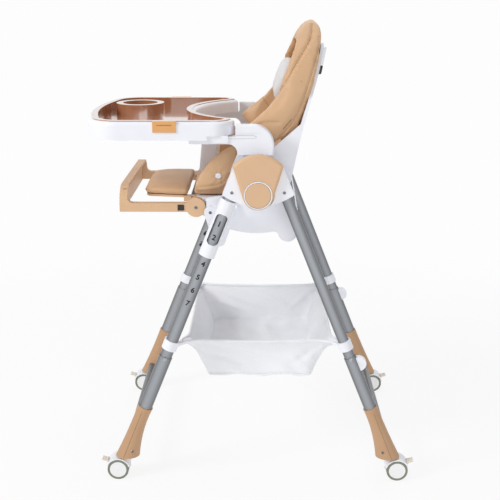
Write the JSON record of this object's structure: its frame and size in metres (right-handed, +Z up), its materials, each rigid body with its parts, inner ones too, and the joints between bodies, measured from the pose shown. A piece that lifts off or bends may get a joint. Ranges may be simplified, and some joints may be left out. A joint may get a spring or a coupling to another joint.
{
  "type": "baby_high_chair",
  "caption": "Folding baby high chair with padded reclining seat, removable tray, swinging footrest, storage basket and swivel casters with brakes",
  "frame": {"origin": "On the floor under the middle of the part's box.", "axes": "+Z is up. +Y points from the tray to the backrest. +X is the child's own left side."},
  "size_m": [0.572, 0.7701, 1.057],
  "materials": {
    "tube_grey": "satin",
    "steel": "satin",
    "white_plastic": "satin",
    "tan_plastic": "satin",
    "caramel_plastic": "gloss",
    "black_plastic": "satin",
    "tan_pad": "matte",
    "grey_pad": "matte",
    "white_mesh": "matte",
    "wheel_white": "satin",
    "tyre_grey": "matte",
    "pedal_beige": "satin"
  },
  "bodies": {
    "front_frame": {"front_leg_left": "tube_grey", "front_leg_right": "tube_grey", "front_lower_tubes": "tube_grey", "front_boots": "tan_plastic", "front_crossbar": "tube_grey", "hub_front_housing_left": "white_plastic", "hub_front_housing_right": "white_plastic", "hub_pivot_pins": "steel", "hub_covers": "tan_plastic", "hub_trim_rings": "steel", "front_collars": "white_plastic", "basket": "white_mesh"},
    "rear_frame": {"rear_leg_left": "tube_grey", "rear_leg_right": "tube_grey", "rear_lower_tubes": "tube_grey", "rear_boots": "tan_plastic", "rear_crossbar": "tube_grey", "hub_rear_housing_left": "white_plastic", "hub_rear_housing_right": "white_plastic", "rear_collars": "white_plastic", "rear_bumpers": "white_plastic"},
    "seat_carriage": {"height_slider_left": "white_plastic", "height_slider_right": "white_plastic", "seat_base": "white_plastic", "footrest_axle": "steel", "crotch_post": "white_plastic", "seat_pad": "tan_pad", "armrest_left": "white_plastic", "armrest_right": "white_plastic"},
    "backrest": {"back_shell": "white_plastic", "back_pad": "tan_pad", "head_cushion": "grey_pad", "recline_handle": "white_plastic"},
    "lever": {"recline_lever": "black_plastic"},
    "footrest": {"foot_frame": "tan_plastic"},
    "leg_rest": {"leg_rest_plate": "tan_plastic", "leg_rest_pad": "tan_pad"},
    "tray": {"tray_base": "white_plastic"},
    "insert": {"tray_insert": "caramel_plastic", "tray_clips": "caramel_plastic"},
    "hub_button_left": {"hub_button_left": "tan_plastic"},
    "foot_button_left": {"foot_button_left": "black_plastic"},
    "hub_button_right": {"hub_button_right": "tan_plastic"},
    "foot_button_right": {"foot_button_right": "black_plastic"},
    "caster_front_left": {"front_caster_fork_left": "white_plastic"},
    "wheel_front_left": {"front_caster_wheel_left": "wheel_white", "front_caster_tyres_left": "tyre_grey"},
    "pedal_front_left": {"front_caster_pedal_left": "pedal_beige"},
    "caster_front_right": {"front_caster_fork_right": "white_plastic"},
    "wheel_front_right": {"front_caster_wheel_right": "wheel_white", "front_caster_tyres_right": "tyre_grey"},
    "pedal_front_right": {"front_caster_pedal_right": "pedal_beige"},
    "caster_rear_left": {"rear_caster_fork_left": "white_plastic"},
    "wheel_rear_left": {"rear_caster_wheel_left": "wheel_white", "rear_caster_tyres_left": "tyre_grey"},
    "pedal_rear_left": {"rear_caster_pedal_left": "pedal_beige"},
    "caster_rear_right": {"rear_caster_fork_right": "white_plastic"},
    "wheel_rear_right": {"rear_caster_wheel_right": "wheel_white", "rear_caster_tyres_right": "tyre_grey"},
    "pedal_rear_right": {"rear_caster_pedal_right": "pedal_beige"}
  },
  "joints": [
    {"name": "fold", "type": "hinge", "parent": "front_frame", "child": "rear_frame", "pos_m": [0, 0.01516, 0.694], "axis": [-1, 0, 0], "range_deg": [0, 40.5], "deforming": ["basket"]},
    {"name": "seat_height", "type": "slide", "parent": "front_frame", "child": "seat_carriage", "axis": [0, -0.3714, -0.9285], "range_m": [0, 0.198]},
    {"name": "recline", "type": "hinge", "parent": "seat_carriage", "child": "backrest", "pos_m": [0, 0.03116, 0.688], "axis": [-1, 0, 0], "range_deg": [0, 47.5]},
    {"name": "lever_squeeze", "type": "hinge", "parent": "backrest", "child": "lever", "pos_m": [0, 0.16167, 0.9465], "axis": [1, 0, 0], "range_deg": [0, 12], "stiffness_Nm_per_rad": 0.8},
    {"name": "footrest_swing", "type": "hinge", "parent": "seat_carriage", "child": "footrest", "pos_m": [0, -0.12583, 0.646], "axis": [1, 0, 0], "range_deg": [0, 84]},
    {"name": "leg_rest_swing", "type": "hinge", "parent": "seat_carriage", "child": "leg_rest", "pos_m": [0, -0.12583, 0.646], "axis": [1, 0, 0], "range_deg": [0, 40]},
    {"name": "tray_slide", "type": "slide", "parent": "seat_carriage", "child": "tray", "axis": [0, -1, 0], "range_m": [0, 0.048]},
    {"name": "insert_lift", "type": "slide", "parent": "tray", "child": "insert", "axis": [0, 0, 1], "range_m": [0, 0.06]},
    {"name": "hub_press_left", "type": "slide", "parent": "front_frame", "child": "hub_button_left", "axis": [-1, 0, 0], "range_m": [0, 0.006], "stiffness_N_per_m": 800},
    {"name": "foot_press_left", "type": "slide", "parent": "footrest", "child": "foot_button_left", "axis": [-1, 0, 0], "range_m": [0, 0.004], "stiffness_N_per_m": 300},
    {"name": "hub_press_right", "type": "slide", "parent": "front_frame", "child": "hub_button_right", "axis": [1, 0, 0], "range_m": [0, 0.006], "stiffness_N_per_m": 800},
    {"name": "foot_press_right", "type": "slide", "parent": "footrest", "child": "foot_button_right", "axis": [1, 0, 0], "range_m": [0, 0.004], "stiffness_N_per_m": 300},
    {"name": "swivel_front_left", "type": "hinge", "parent": "front_frame", "child": "caster_front_left", "pos_m": [0.25, -0.29552, 0], "axis": [0, 0, 1], "continuous": true},
    {"name": "roll_front_left", "type": "hinge", "parent": "caster_front_left", "child": "wheel_front_left", "pos_m": [0.25, -0.31552, 0.025], "axis": [1, 0, 0], "continuous": true},
    {"name": "brake_front_left", "type": "hinge", "parent": "caster_front_left", "child": "pedal_front_left", "pos_m": [0.25, -0.34215, 0.04164], "axis": [1, 0, 0], "range_deg": [0, 20]},
    {"name": "swivel_front_right", "type": "hinge", "parent": "front_frame", "child": "caster_front_right", "pos_m": [-0.25, -0.29552, 0], "axis": [0, 0, 1], "continuous": true},
    {"name": "roll_front_right", "type": "hinge", "parent": "caster_front_right", "child": "wheel_front_right", "pos_m": [-0.25, -0.31552, 0.025], "axis": [1, 0, 0], "continuous": true},
    {"name": "brake_front_right", "type": "hinge", "parent": "caster_front_right", "child": "pedal_front_right", "pos_m": [-0.25, -0.34215, 0.04164], "axis": [1, 0, 0], "range_deg": [0, 20]},
    {"name": "swivel_rear_left", "type": "hinge", "parent": "rear_frame", "child": "caster_rear_left", "pos_m": [0.25, 0.32584, 0], "axis": [0, 0, 1], "continuous": true},
    {"name": "roll_rear_left", "type": "hinge", "parent": "caster_rear_left", "child": "wheel_rear_left", "pos_m": [0.25, 0.34585, 0.025], "axis": [1, 0, 0], "continuous": true},
    {"name": "brake_rear_left", "type": "hinge", "parent": "caster_rear_left", "child": "pedal_rear_left", "pos_m": [0.25, 0.37248, 0.04164], "axis": [-1, 0, 0], "range_deg": [0, 20]},
    {"name": "swivel_rear_right", "type": "hinge", "parent": "rear_frame", "child": "caster_rear_right", "pos_m": [-0.25, 0.32584, 0], "axis": [0, 0, 1], "continuous": true},
    {"name": "roll_rear_right", "type": "hinge", "parent": "caster_rear_right", "child": "wheel_rear_right", "pos_m": [-0.25, 0.34585, 0.025], "axis": [1, 0, 0], "continuous": true},
    {"name": "brake_rear_right", "type": "hinge", "parent": "caster_rear_right", "child": "pedal_rear_right", "pos_m": [-0.25, 0.37248, 0.04164], "axis": [-1, 0, 0], "range_deg": [0, 20]}
  ]
}
